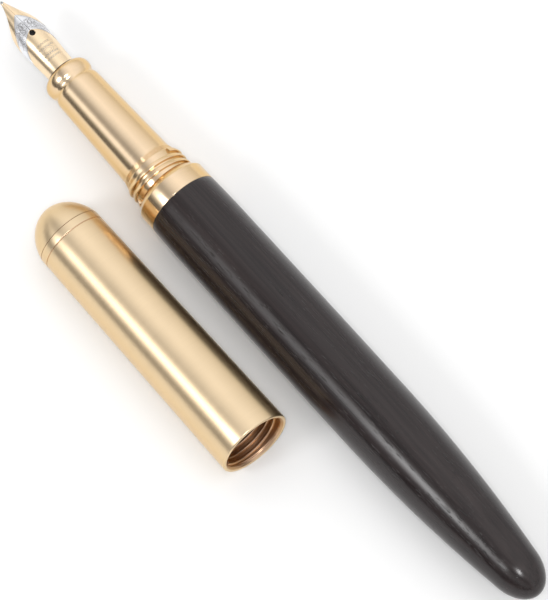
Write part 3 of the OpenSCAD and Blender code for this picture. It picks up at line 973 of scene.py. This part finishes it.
class PEN_OT_nib(bpy.types.Operator):
    """Rolls the nib's sheet with its slit, breather hole and point"""
    bl_idname = "pen.nib"
    bl_label = "Nib"

    def execute(self, context):
        s = in_millimetres(context.scene.pen_nib)
        hole, hole_r = s.hole_station, s.hole_diameter / 2
        columns = 26
        before = hole - hole_r
        rows = steps_between(0.45, before - 0.3, 0.2)[:-1]
        rows += [before - 0.3 + 0.3 * k / 3 for k in range(3)]
        rows += [hole - hole_r * math.cos(math.pi * k / 22) for k in range(23)]
        rows += steps_between(hole + hole_r, 17, 0.25)[1:] + steps_between(17, NIB_END, 0.8)[1:]

        def inner(x):
            slit = s.slit_width / 2 * (0.45 + 0.55 * x / hole)
            round_ = math.sqrt(max(0.0, hole_r**2 - (x - hole)**2))
            return max(slit, round_) if x < hole else round_

        verts, places, faces = [], [], []
        for side in (1, -1):
            first = len(verts)
            for x in rows:
                low, high = inner(x), reach(x)
                for c in range(columns + 1):
                    across = side * (low + (high - low) * (c / columns)**0.9)
                    verts.append(on_sheet(x, across))
                    places.append((x / SHEET_SPAN, 0.5 + across / SHEET_SPAN))
            for i in range(len(rows) - 1):
                for c in range(columns):
                    a = first + i * (columns + 1) + c
                    quad = (a, a + columns + 1, a + columns + 2, a + 1)
                    faces.append(quad if side > 0 else quad[::-1])
        mesh = bpy.data.meshes.new("nib")
        mesh.from_pydata(verts, [], faces)
        layer = mesh.uv_layers.new(name="sheet")
        layer.data.foreach_set("uv", [v for loop in mesh.loops for v in places[loop.vertex_index]])
        work = bmesh.new()
        work.from_mesh(mesh)
        bmesh.ops.remove_doubles(work, verts=work.verts, dist=1e-7)
        bmesh.ops.recalc_face_normals(work, faces=work.faces)
        top = max(work.faces, key=lambda f: f.calc_center_median().z)
        if top.normal.z < 0:
            bmesh.ops.reverse_faces(work, faces=work.faces)
        work.to_mesh(mesh)
        work.free()
        mesh.transform(PEN)
        sheet = new_object("nib_sheet", mesh)
        wall = sheet.modifiers.new("Wall", "SOLIDIFY")
        wall.thickness, wall.offset = s.sheet * MM, -1
        edge = sheet.modifiers.new("Edge", "BEVEL")
        edge.width, edge.segments, edge.limit_method = 0.035 * MM, 2, "ANGLE"
        edge.angle_limit = math.radians(50)
        graph = context.evaluated_depsgraph_get()
        solid = bpy.data.meshes.new_from_object(sheet.evaluated_get(graph), depsgraph=graph)
        bpy.data.objects.remove(sheet)
        shade(solid, 40)
        piece = painted(new_object("nib_sheet", solid), nib_gold)
        settled(piece, "nib_unit", "nib_gold", "nib")

        pellet = [(0.42 - 0.42 * math.cos(a) + 0.1 * math.sin(a)**2,
                   0.33 * math.sin(a)) for a in steps_between(0, math.pi, math.pi / 20)]
        pellet[0], pellet[-1] = (0.0, 0.0), (0.84, 0.0)
        raised = PEN @ Matrix.Translation((0, 0, 1.13 * MM))
        settled(painted(turned("nib_pellet", pellet, raised, 40), nib_point),
                "nib_unit", "nib_point", "nib_tipping")
        return {"FINISHED"}


def scroll(start, heading, size, side, turns=1.35, steps=34):
    """A leaf scroll on the sheet that leaves a point and curls up to one side."""
    x, across = start
    points = [(x, across)]
    total = turns * TURN
    for k in range(steps):
        t = k / steps
        step = size * 0.16 * (1 - 0.78 * t)
        heading += side * total / steps
        x += step * math.cos(heading)
        across += step * math.sin(heading)
        points.append((x, across))
    return points


class PEN_OT_engraving(bpy.types.Operator):
    """Engraves borders and leaf scrolls on the nib's shoulders, and a braided band behind them"""
    bl_idname = "pen.engraving"
    bl_label = "Engraving"

    def execute(self, context):
        look = context.scene.pen_nib

        def along(curve, across, shift=0.0):
            return curve[0] + curve[1] * across + curve[2] * across**2 + shift

        lines = []
        across = steps_between(0.12, 4.0, 0.1)
        for curve, shift in ((PANEL_FRONT, 0.0), (PANEL_FRONT, 0.28),
                             (PANEL_REAR, 0.0), (PANEL_REAR, -0.3)):
            lines.append([(along(curve, a, shift), a) for a in across])
        stem = [(0.5 * along(PANEL_FRONT, a) + 0.5 * along(PANEL_REAR, a)
                 + 0.28 * math.sin(2.6 * a), a) for a in steps_between(0.3, 3.7, 0.08)]
        lines.append(stem)
        for k, (place, size) in enumerate(((4, 0.8), (11, 1.0), (18, 1.1), (26, 1.15), (34, 1.1))):
            x, a = stem[place]
            for side in (1, -1):
                lines.append(scroll((x, a), math.pi / 2 - side * 0.9, size, -side, 1.2 + 0.1 * k))
                lines.append(scroll((x, a), math.pi / 2 + side * 0.35, size * 0.62, side, 0.75))
        kept = [[p for p in line if 0.12 < p[1] < reach(p[0]) - 0.12] for line in lines]
        mirrored = [[(x, -a) for x, a in line] for line in kept]
        bands = []
        for x, wide in ((11.7, 1.5), (12.5, 1.75), (14.0, 1.75), (14.75, 1.6)):
            for phase in (0, math.pi):
                bands.append([(x + 0.17 * math.sin(7.5 * a + phase), a)
                              for a in steps_between(-wide, wide, 0.045)])
        oval = [(13.25 + 0.62 * math.sin(t), 1.2 * math.cos(t))
                for t in steps_between(0, TURN, 0.12)]
        inner = [(13.25 + 0.36 * math.sin(t), 0.8 * math.cos(t))
                 for t in steps_between(0, TURN, 0.12)]
        curve = bpy.data.curves.new("engraving", "CURVE")
        curve.dimensions = "3D"
        for line in kept + mirrored + bands + [oval, inner]:
            if len(line) < 3:
                continue
            spline = curve.splines.new("POLY")
            spline.points.add(len(line) - 1)
            for point, (x, a) in zip(spline.points, line):
                point.co = (*on_sheet(x, a, -look.line_width / MM * 0.28), 1)
        piece = tree(lines_tree).bake("nib_engraving", {
            "Width": look.line_width, "Material": finish(engraved_line)}, PEN,
            new_object("engraving_source", curve))
        settled(piece, "nib_unit", "nib_gold")
        return {"FINISHED"}


class PEN_OT_feed(bpy.types.Operator):
    """Builds the finned feed and the housing with its nipple"""
    bl_idname = "pen.feed"
    bl_label = "Feed and housing"

    def execute(self, context):
        lip = context.scene.pen_section.lip_station / MM
        end = lip + 19.15
        core = [(4.4, 0.0), (4.45, 0.3), (5.4, 0.85), (7.2, 1.55), (8.4, 1.9), (lip - 0.4, 1.9),
                (lip - 0.4, 2.42), (end - 2.6, 2.42), (end - 2.6, 0.0)]
        body = painted(turned("feed_core", eased(core, 0.12, closed=False), PEN, 72),
                       feed_plastic)
        fins = tree(fins_tree).bake("feed_fins", {
            "Radius": 2.25 * MM, "Growth": 0.024, "Count": context.scene.pen_nib.fins,
            "Pitch": 0.85 * MM, "Thickness": 0.4 * MM, "Start": 8.6 * MM,
            "Material": finish(feed_plastic)}, PEN)
        heel = tree(fins_tree).bake("feed_heel", {
            "Radius": 2.79 * MM, "Growth": 0.0, "Count": 1, "Pitch": MM,
            "Thickness": 16.9 * MM, "Start": (lip - 0.4) * MM,
            "Material": finish(feed_plastic)}, PEN)
        settled(joined("finned_feed", [body, fins, heel]), "nib_unit", "feed_plastic", "feed")
        housing = eased([
            (lip - 0.3, 2.87), (lip - 0.3, 3.2), (lip - 0.22, 3.28), (end, 3.28), (end, 1.3),
            (end + 5.6, 1.22), (end + 5.6, 0.8), (end - 1.4, 0.8), (end - 1.4, 2.87)], 0.1)
        settled(painted(turned("nib_housing_tube", housing, PEN), black_plastic),
                "section", "black_plastic", "nib_housing")
        return {"FINISHED"}


class PEN_OT_converter(bpy.types.Operator):
    """Builds the converter: clear tube, sleeve, ribbed knob, screw, rod and sealed piston"""
    bl_idname = "pen.converter"
    bl_label = "Converter"

    def execute(self, context):
        s = in_millimetres(context.scene.pen_converter)
        start, r = s.front_station, s.tube_diameter / 2
        chamber, tube_end, end = start + 6, start + s.tube_length, start + s.converter_length
        chamber_r, sleeve_end = r - 0.4, tube_end + 13
        tube = eased([
            (start, 1.32), (start, r - 0.3), (chamber - 0.5, r - 0.3), (chamber, r),
            (tube_end, r), (tube_end, chamber_r), (chamber + 0.4, chamber_r),
            (chamber, chamber_r - 0.5), (chamber, 1.32)], 0.15)
        settled(painted(turned("converter_clear_tube", tube, PEN), clear_plastic),
                "converter", "clear_plastic", "converter_tube")
        guide = eased([(tube_end - 5, 1.8), (tube_end - 5, chamber_r - 0.02),
                       (tube_end, chamber_r - 0.02), (tube_end, 1.8)], 0.12)
        settled(painted(turned("rod_guide", guide, PEN), black_plastic),
                "converter", "black_plastic", "converter_guide")
        bore = r + 0.02
        sleeve = eased([
            (tube_end - 6, bore), (tube_end - 6, bore + 0.23), (tube_end - 4.4, bore + 0.23),
            (tube_end - 4.2, bore + 0.1), (tube_end - 3.9, bore + 0.1),
            (tube_end - 3.7, bore + 0.23),
            (sleeve_end, bore + 0.23), (sleeve_end, 3.05), (sleeve_end - 0.8, 3.05),
            (sleeve_end - 0.8, bore)], 0.08)
        settled(painted(turned("nickel_collar", sleeve, PEN), nickel_sleeve),
                "converter", "nickel_sleeve", "converter_sleeve")
        grip, grip_r, neck = sleeve_end + 0.4, 3.5, 2.95
        knob = eased([
            (tube_end + 1.4, 1.9), (tube_end + 1.4, 3.6), (sleeve_end - 0.9, 3.6),
            (sleeve_end - 0.9, neck), (grip, neck), (grip, 3.6), (grip + 1.1, 3.6),
            (grip + 1.25, grip_r), (end - 1.3, grip_r), (end - 1.1, 3.6), (end - 0.5, 3.6),
            (end, 3.1), (end, 1.02), (end - 1.8, 1.02), (end - 1.8, 1.9)], 0.12)
        turned_knob = painted(turned("knob", knob, PEN), nickel_sleeve)
        ribs = tree(bars_tree).bake("knob_ribs", {
            "Radius": 3.42 * MM, "Bar Radius": 0.18 * MM, "Start": (grip + 1.3) * MM,
            "Count": context.scene.pen_converter.ribs, "Length": (end - grip - 2.65) * MM,
            "Material": finish(nickel_sleeve)}, PEN)
        settled(joined("ribbed_knob", [turned_knob, ribs]), "knob", "nickel_sleeve",
                "converter_knob")
        piston, screw_start = chamber + 1.4, chamber + 32.8
        screw = eased([(screw_start, 0.0), (screw_start, 0.7), (end - 6, 0.7), (end - 6, 1.0),
                       (end - 0.3, 1.0), (end - 0.3, 0.0)], 0.1, closed=False)
        shaft = painted(turned("screw", screw, PEN, 48), black_plastic)
        helix = thread("screw_thread", PEN, black_plastic, 0.7, 0.3, 0.8, 0.4, 1.5, 3,
                       screw_start + 0.4, end - 7 - screw_start, 0.1)
        settled(joined("screw_shaft", [shaft, helix]), "knob", "black_plastic", "drive_screw")
        rod = eased([(piston + 2.8, 1.1), (piston + 2.8, 1.75), (piston + 34.8, 1.75),
                     (piston + 34.8, 1.1)], 0.12)
        settled(painted(turned("hollow_rod", rod, PEN, 64), black_plastic),
                "piston", "black_plastic", "piston_rod")
        core = eased([
            (piston, 0.0), (piston, 2.9), (piston + 0.4, 2.9), (piston + 0.4, 2.4),
            (piston + 2.2, 2.4), (piston + 2.2, 2.9), (piston + 2.8, 2.9), (piston + 2.8, 1.08),
            (piston + 4.2, 1.08), (piston + 4.2, 0.0)], 0.1, closed=False)
        settled(painted(turned("piston_core", core, PEN), black_plastic),
                "piston", "black_plastic", "piston")
        lip_r = chamber_r - 0.02
        seal = eased([
            (piston + 0.42, 2.42), (piston + 0.42, lip_r - 0.08), (piston + 0.6, lip_r),
            (piston + 0.8, lip_r), (piston + 1.3, lip_r - 0.25), (piston + 1.8, lip_r),
            (piston + 2.0, lip_r), (piston + 2.18, lip_r - 0.08), (piston + 2.18, 2.42)], 0.12)
        settled(painted(turned("piston_seal_ring", seal, PEN), seal_silicone),
                "piston", "seal_silicone", "piston_seal")
        return {"FINISHED"}


class PEN_OT_cap(bpy.types.Operator):
    """Turns the tapered cap with its inside thread, its dome and the moulded inner cap"""
    bl_idname = "pen.cap"
    bl_label = "Cap"

    def execute(self, context):
        s = in_millimetres(context.scene.pen_cap)
        section = context.scene.pen_section
        mouth_r, dome_r, bore = s.mouth_diameter / 2, s.dome_diameter / 2, s.bore_diameter / 2
        back = -s.tube_length
        slope = (mouth_r - dome_r) / s.tube_length
        line = back + 1.6
        line_r = dome_r + 1.6 * slope
        wall = 5.95
        outline = [
            (back, dome_r), (line - 0.12, line_r), (line - 0.04, line_r - 0.07),
            (line + 0.04, line_r - 0.07), (line + 0.12, line_r)]
        outline += [(x, dome_r + (x - back) * slope) for x in steps_between(back + 5, -0.2, 5)]
        outline += [(0, mouth_r - 0.16), (0, 6.45), (-0.45, 6.0), (-0.6, 6.0), (-0.7, wall),
                    (-7.6, wall), (-8.0, bore), (back, bore)]
        tube = turned("cap_tube_body", eased(outline, 0.1), CAP, 160)
        tube.data.materials.append(finish(satin_brass))
        tube.data.materials.append(finish(bore_brass))
        # Faces inside the bore take the darker bore brass, which paints the shade inside the cap.
        local = CAP.inverted()
        for face in tube.data.polygons:
            x, y, z = local @ face.center
            if math.hypot(y, z) < 6.36 * MM and x < -0.04 * MM:
                face.material_index = 1
        ridges = thread("cap_bore_thread", CAP, bore_brass, wall, 0.33, 0.5,
                        section.thread_pitch / MM - 0.1, section.thread_pitch / MM,
                        section.thread_starts, -7.1, 6.1, 0.25, 1.27)
        settled(joined("cap_tube_body", [tube, ridges]), "cap", "satin_brass", "cap_tube")

        base = back - 0.02
        dome_w, dome_h = dome_r * 1.0224, s.dome_length * 1.265
        middle = base - s.dome_length + dome_h
        first = math.asin((middle - base) / dome_h)
        dome = [(middle - dome_h * math.sin(a), dome_w * math.cos(a))
                for a in steps_between(math.pi / 2, first, 0.05)]
        dome[0] = (dome[0][0], 0.0)
        inside = eased([dome[-1], (base, dome_r - 0.06), (base, bore - 0.02),
                        (base + 5, bore - 0.02), (base + 5, 4.65), (base + 0.25, 4.65),
                        (base + 0.25, 0.0)], 0.08, closed=False)
        settled(painted(turned("cap_dome", dome[:-1] + inside, CAP, 160), satin_brass),
                "cap", "satin_brass", "cap_crown")
        liner = eased([
            (-51.2, 0.0), (-51.2, 4.6), (-46.4, 4.6), (-46.4, 5.48), (-29.2, 5.48), (-29.2, 4.5),
            (-29.5, 4.3), (-45.8, 4.3), (-46.4, 3.9), (-50.4, 3.9), (-50.4, 0.0)],
            0.15, closed=False)
        settled(painted(turned("inner_cap_shell", liner, CAP), liner_plastic),
                "inner_cap", "liner_plastic", "cap_liner")
        return {"FINISHED"}


# Light from the studio by its angle from overhead towards the pen's side, in degrees
STUDIO_LIGHT = [
    (-180, 0.6), (-94, 0.35), (-90, 0.12), (-73, 0.14), (-65, 0.42), (-59, 1.05), (-48, 1.15),
    (-42, 0.75), (-35, 0.36), (-22, 0.45), (-13, 0.7), (-2, 0.93), (17, 1.25), (28, 1.15),
    (60, 1.0), (80, 0.85), (100, 0.75), (180, 0.6)]
# Soft boxes: name, direction, distance, size along and across the pen, power
SOFT_BOXES = [("strip_light", (-0.15, -0.72, 0.67), 0.9, (0.2, 0.26), 1.9)]
# Half the floor's side in metres, and how many squares it is cut into each way
FLOOR_HALF, FLOOR_SQUARES = 1.6, 8
SENSOR = 36
# Where the camera looks: above the floor, then right and up in the picture, in millimetres
AIM_HEIGHT, AIM_RIGHT, AIM_UP = 5, 8.293, 6.13


class PEN_OT_stage(bpy.types.Operator):
    """Lays the pale floor, hangs the soft studio light and sets up the camera"""
    bl_idname = "pen.stage"
    bl_label = "Floor, light and camera"

    def execute(self, context):
        look = context.scene.pen_stage
        scene = context.scene
        count = FLOOR_SQUARES
        verts = [(FLOOR_HALF * (2 * i / count - 1), FLOOR_HALF * (2 * j / count - 1), 0)
                 for j in range(count + 1) for i in range(count + 1)]
        faces = [(k, k + 1, k + count + 2, k + count + 1)
                 for j in range(count) for k in range(j * (count + 1), j * (count + 1) + count)]
        mesh = bpy.data.meshes.new("floor")
        mesh.from_pydata(verts, [], faces)
        paper = Finish("Pale floor", look.floor_colour, 0.7, 0.0, Specular_IOR_Level=0.2)
        tooth = paper.noise(paper.place((900, 900, 900)), 1.0, 3)
        paper.bump(tooth, 0.05, 0.02 * MM)
        floor = new_object("floor", mesh)
        mesh.materials.append(paper.material)

        world = bpy.data.worlds.new("soft_studio")
        scene.world = world
        world.use_nodes = True
        nodes, links = world.node_tree.nodes, world.node_tree.links
        where = nodes.new("ShaderNodeTexCoord")
        parts = nodes.new("ShaderNodeSeparateXYZ")
        links.new(where.outputs["Generated"], parts.inputs[0])
        lean = nodes.new("ShaderNodeMath")
        lean.operation = "ARCTAN2"
        links.new(parts.outputs[1], lean.inputs[0])
        links.new(parts.outputs[2], lean.inputs[1])
        share = nodes.new("ShaderNodeMath")
        share.operation = "MULTIPLY_ADD"
        links.new(lean.outputs[0], share.inputs[0])
        share.inputs[1].default_value = 1 / TURN
        share.inputs[2].default_value = 0.5
        ramp = nodes.new("ShaderNodeValToRGB")
        ramp.color_ramp.interpolation = "B_SPLINE"
        links.new(share.outputs[0], ramp.inputs[0])
        stops = ramp.color_ramp.elements
        while len(stops) < len(STUDIO_LIGHT):
            stops.new(0.5)
        for stop, (degrees, level) in zip(stops, STUDIO_LIGHT):
            stop.position = 0.5 + degrees / 360
            stop.color = (level / 2, level / 2, level / 2, 1)
        towards_tail = nodes.new("ShaderNodeMapRange")
        towards_tail.interpolation_type = "SMOOTHSTEP"
        links.new(parts.outputs[0], towards_tail.inputs[0])
        for place, value in zip((1, 2, 3, 4), (0.05, 0.5, 1.0, look.tail_light)):
            towards_tail.inputs[place].default_value = value
        strength = nodes.new("ShaderNodeMath")
        strength.operation = "MULTIPLY"
        links.new(towards_tail.outputs[0], strength.inputs[0])
        strength.inputs[1].default_value = 2 * look.light_strength
        background = nodes["Background"]
        links.new(ramp.outputs[0], background.inputs[0])
        links.new(strength.outputs[0], background.inputs[1])

        for name, direction, reach, size, power in SOFT_BOXES:
            lamp = bpy.data.lights.new(name, "AREA")
            lamp.shape, lamp.size, lamp.size_y = "RECTANGLE", size[0], size[1]
            lamp.energy = power * look.light_strength
            box = bpy.data.objects.new(name, lamp)
            scene.collection.objects.link(box)
            away = Vector(direction).normalized()
            side = Vector((1, 0, 0)) - away * away.x
            side.normalize()
            box.matrix_world = Matrix.Translation(away * reach) @ Matrix(
                (side, away.cross(side), away)).transposed().to_4x4()

        tail, cap, turn = look.tilt_to_tail, look.tilt_to_cap, look.turn
        back = Vector((math.sin(tail), -math.cos(tail) * math.sin(cap),
                       math.cos(tail) * math.cos(cap)))
        fill = bpy.data.lights.new("fill_light", "SUN")
        fill.energy, fill.angle = look.fill_light * look.light_strength, math.radians(12)
        fill_object = bpy.data.objects.new("fill_light", fill)
        scene.collection.objects.link(fill_object)
        fill_object.rotation_euler = back.to_track_quat("Z", "Y").to_euler()
        along = (Vector((1, 0, 0)) - back * back.x).normalized()
        across = back.cross(along)
        right = math.cos(turn) * along + math.sin(turn) * across
        up = back.cross(right)
        aim = Vector((0, 0, AIM_HEIGHT * MM)) + AIM_RIGHT * MM * right + AIM_UP * MM * up
        camera = bpy.data.objects.new("camera", bpy.data.cameras.new("camera"))
        scene.collection.objects.link(camera)
        camera.matrix_world = Matrix.Translation(aim + back * look.distance) @ Matrix(
            (right, up, back)).transposed().to_4x4()
        camera.data.sensor_width = SENSOR
        camera.data.lens = SENSOR * look.distance / look.picture_height
        camera.data.clip_start, camera.data.clip_end = 0.1, 50
        scene.camera = camera
        scene.view_settings.view_transform = "Standard"
        return {"FINISHED"}


class PEN_PT_fountain_pen(bpy.types.Panel):
    """Lists the settings and the pieces that they build"""
    bl_label = "Fountain Pen"
    bl_space_type = "VIEW_3D"
    bl_region_type = "UI"
    bl_category = "Fountain Pen"

    def draw(self, context):
        for key, group in SETTINGS.items():
            box = self.layout.box()
            for name in group.__annotations__:
                box.prop(getattr(context.scene, key), name)
        for operator in OPERATORS:
            self.layout.operator(operator.bl_idname)


SETTINGS = {
    "pen_barrel": PenBarrelSettings, "pen_section": PenSectionSettings,
    "pen_nib": PenNibSettings, "pen_converter": PenConverterSettings,
    "pen_cap": PenCapSettings, "pen_stage": PenStageSettings}
OPERATORS = (
    PEN_OT_stage, PEN_OT_barrel, PEN_OT_barrel_fittings, PEN_OT_section, PEN_OT_nib,
    PEN_OT_engraving, PEN_OT_feed, PEN_OT_converter, PEN_OT_cap)


def register():
    """Registers the settings, the operators and the panel."""
    for key, group in SETTINGS.items():
        bpy.utils.register_class(group)
        setattr(bpy.types.Scene, key, PointerProperty(type=group))
    for made in (*OPERATORS, PEN_PT_fountain_pen):
        bpy.utils.register_class(made)


def unregister():
    """Takes back what register added."""
    for made in reversed((*OPERATORS, PEN_PT_fountain_pen)):
        bpy.utils.unregister_class(made)
    for key, group in SETTINGS.items():
        delattr(bpy.types.Scene, key)
        bpy.utils.unregister_class(group)


def main():
    """Builds everything."""
    register()
    for operator in OPERATORS:
        group, name = operator.bl_idname.split(".")
        getattr(getattr(bpy.ops, group), name)()


if __name__ == "__main__":
    main()
